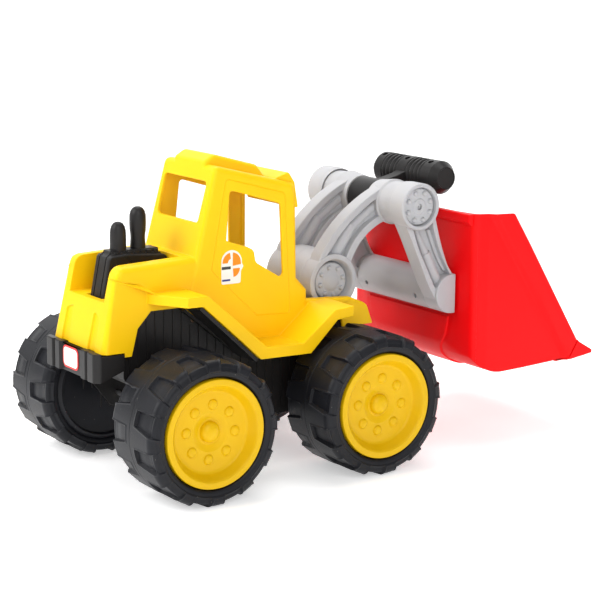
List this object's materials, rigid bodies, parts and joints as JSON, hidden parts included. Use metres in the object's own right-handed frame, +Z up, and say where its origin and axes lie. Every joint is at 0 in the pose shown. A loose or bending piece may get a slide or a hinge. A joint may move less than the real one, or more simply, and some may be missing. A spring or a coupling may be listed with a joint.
{
  "type": "toy front loader",
  "caption": "Toy front loader with free-rolling wheels, a lifting boom and a bucket that tips with its T-handle.",
  "frame": {"origin": "centre of the footprint box, on the ground", "axes": "+X towards the bucket, +Y to the loader's left, +Z up"},
  "size_m": [0.484, 0.251, 0.2676],
  "materials": {
    "yellow": "satin",
    "deep_yellow": "satin",
    "black": "satin",
    "tyre": "satin",
    "grey": "satin",
    "red": "satin",
    "steel": "brushed",
    "white": "gloss"
  },
  "bodies": {
    "vehicle": {"body_shell": "yellow", "engine_cover": "black", "chassis": "black", "rear_bumper": "black", "bumper_label": "white", "door_sticker_left": "white", "door_sticker_right": "white", "body_screw_rear_left": "steel", "body_screw_rear_right": "steel", "body_screw_front_left": "steel", "body_screw_front_right": "steel", "axle_rear": "steel", "push_nut_rear_left": "steel", "push_nut_rear_right": "steel", "axle_front": "steel", "push_nut_front_left": "steel", "push_nut_front_right": "steel", "boom_pivot_rod": "steel"},
    "boom": {"boom_arm_left": "grey", "boom_cap_left": "grey", "boom_arm_right": "grey", "boom_cap_right": "grey"},
    "bucket_unit": {"bucket_pivot_rod": "steel", "dipper_arm_left": "grey", "dipper_cap_left": "grey", "dipper_screw_left": "steel", "dipper_arm_right": "grey", "dipper_cap_right": "grey", "dipper_screw_right": "steel", "bucket_bar": "grey", "bucket": "red", "bar_screw_1": "steel", "bar_screw_2": "steel", "handle_upper": "black", "handle_lower": "black", "handle_screw_1": "steel", "handle_screw_2": "steel", "handle_screw_3": "steel", "handle_screw_4": "steel"},
    "wheel_rear_left": {"tyre_rear_left": "tyre", "hub_rear_left": "deep_yellow", "hub_cap_rear_left": "deep_yellow"},
    "wheel_rear_right": {"tyre_rear_right": "tyre", "hub_rear_right": "deep_yellow", "hub_cap_rear_right": "deep_yellow"},
    "wheel_front_left": {"tyre_front_left": "tyre", "hub_front_left": "deep_yellow", "hub_cap_front_left": "deep_yellow"},
    "wheel_front_right": {"tyre_front_right": "tyre", "hub_front_right": "deep_yellow", "hub_cap_front_right": "deep_yellow"}
  },
  "joints": [
    {"name": "rear_left_wheel", "type": "hinge", "parent": "vehicle", "child": "wheel_rear_left", "pos_m": [-0.177, 0.09, 0.06], "axis": [0, 1, 0], "continuous": true},
    {"name": "rear_right_wheel", "type": "hinge", "parent": "vehicle", "child": "wheel_rear_right", "pos_m": [-0.177, -0.09, 0.06], "axis": [0, 1, 0], "continuous": true},
    {"name": "front_left_wheel", "type": "hinge", "parent": "vehicle", "child": "wheel_front_left", "pos_m": [-0.0112, 0.09, 0.06], "axis": [0, 1, 0], "continuous": true},
    {"name": "front_right_wheel", "type": "hinge", "parent": "vehicle", "child": "wheel_front_right", "pos_m": [-0.0112, -0.09, 0.06], "axis": [0, 1, 0], "continuous": true},
    {"name": "boom_lift", "type": "hinge", "parent": "vehicle", "child": "boom", "pos_m": [-0.0038, 0, 0.1506], "axis": [0, -1, 0], "range_deg": [-28, 45]},
    {"name": "bucket_tilt", "type": "hinge", "parent": "boom", "child": "bucket_unit", "pos_m": [0.061, 0, 0.216], "axis": [0, 1, 0], "range_deg": [-35, 20]}
  ]
}
